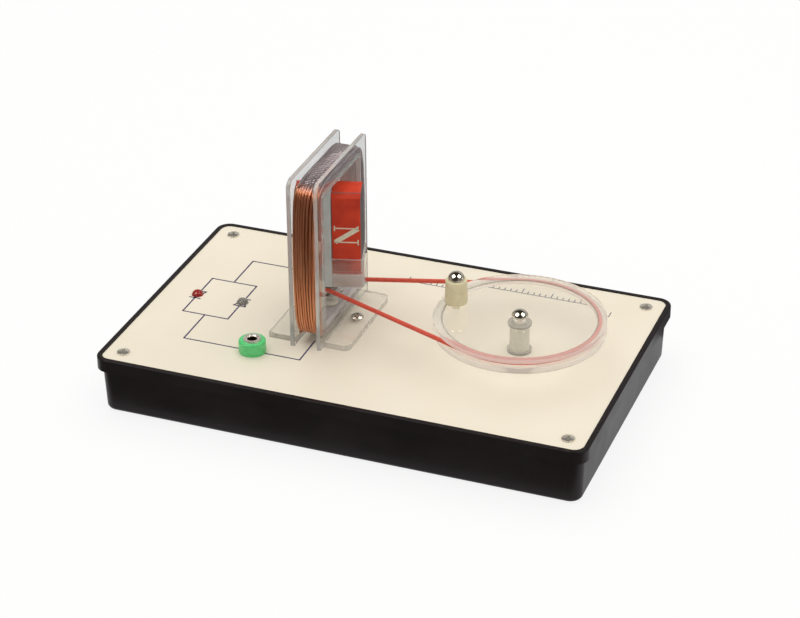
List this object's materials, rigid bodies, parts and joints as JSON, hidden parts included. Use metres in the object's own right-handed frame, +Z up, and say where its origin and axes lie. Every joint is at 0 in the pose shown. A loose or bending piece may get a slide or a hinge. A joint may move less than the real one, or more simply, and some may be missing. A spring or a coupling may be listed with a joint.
{
  "type": "belt-driven demonstration generator",
  "caption": "Tray-shaped base with a magnet rotor inside an upright flat coil, turned through a belt by a clear crank disc, with diodes and plug sockets",
  "frame": {"origin": "middle of the flat underside of the base", "axes": "+X along the long side of the base, from the diode end to the crank end; +Y across it, away from the user; +Z up"},
  "size_m": [0.2044, 0.1258, 0.0975],
  "materials": {
    "black_abs": "satin moulded",
    "cream_panel": "smooth satin laminate with thin printed lines",
    "screw_steel": "bright nickel plate",
    "red_epoxy": "clear tinted epoxy",
    "clear_epoxy": "water-clear epoxy",
    "tinned_wire": "tinned",
    "green_plastic": "moulded, slightly glossy",
    "nickel_brass": "nickel plated, turned",
    "black_nylon": "moulded",
    "clear_acrylic": "polished sheet, sawn and flame-polished edges",
    "enamelled_copper": "enamelled copper wire, wound in layers",
    "wire_insulation": "soft plastic sleeve",
    "white_nylon": "turned nylon",
    "spindle_steel": "ground",
    "magnet_red": "red enamel",
    "belt_rubber": "round elastic cord, satin",
    "knob_nylon": "translucent off-white nylon"
  },
  "bodies": {
    "base": {"base_tray": "black_abs", "top_panel": "cream_panel", "panel_screws": "screw_steel", "red_led": "red_epoxy", "clear_led": "clear_epoxy", "led_legs": "tinned_wire", "led_links": "tinned_wire", "front_socket_body": "green_plastic", "rear_socket_body": "green_plastic", "front_socket_sleeve": "nickel_brass", "rear_socket_sleeve": "nickel_brass", "socket_nuts": "black_nylon", "left_cheek": "clear_acrylic", "right_cheek": "clear_acrylic", "coil_former": "clear_acrylic", "coil_winding": "enamelled_copper", "coil_leads": "enamelled_copper", "left_foot": "clear_acrylic", "right_foot": "clear_acrylic", "foot_screws": "screw_steel", "foot_nuts": "screw_steel", "lower_bush": "white_nylon", "upper_bush": "white_nylon", "front_coil_wire": "wire_insulation", "rear_coil_wire": "wire_insulation", "front_led_wire": "wire_insulation", "rear_led_wire": "wire_insulation", "hub_foot_washer": "white_nylon", "hub_spacer": "white_nylon", "hub_top_washer": "white_nylon", "hub_sleeve": "white_nylon", "hub_screw": "screw_steel", "hub_nut": "screw_steel", "drive_belt": "belt_rubber"},
    "rotor": {"rotor_spindle": "spindle_steel", "rotor_pulley": "clear_acrylic", "rotor_base": "clear_acrylic", "magnet_cup": "clear_acrylic", "centre_post": "clear_acrylic", "north_magnet": "magnet_red", "south_magnet": "magnet_red"},
    "crank": {"crank_disc": "clear_acrylic", "knob_screw": "screw_steel"},
    "knob": {"crank_knob": "knob_nylon"}
  },
  "joints": [
    {"name": "crank_spin", "type": "hinge", "parent": "base", "child": "crank", "pos_m": [0.0565, -0.0028, 0.0403], "axis": [0, 0, 1], "continuous": true},
    {"name": "rotor_spin", "type": "hinge", "parent": "base", "child": "rotor", "pos_m": [-0.02575, 0.0003, 0.06], "axis": [0, 0, 1], "continuous": true},
    {"name": "knob_spin", "type": "hinge", "parent": "crank", "child": "knob", "pos_m": [0.0294, -0.0015, 0.048], "axis": [0, 0, 1], "continuous": true}
  ],
  "couplings": [
    {"joint": "rotor_spin", "follows": "crank_spin", "ratio": 7.3256}
  ]
}
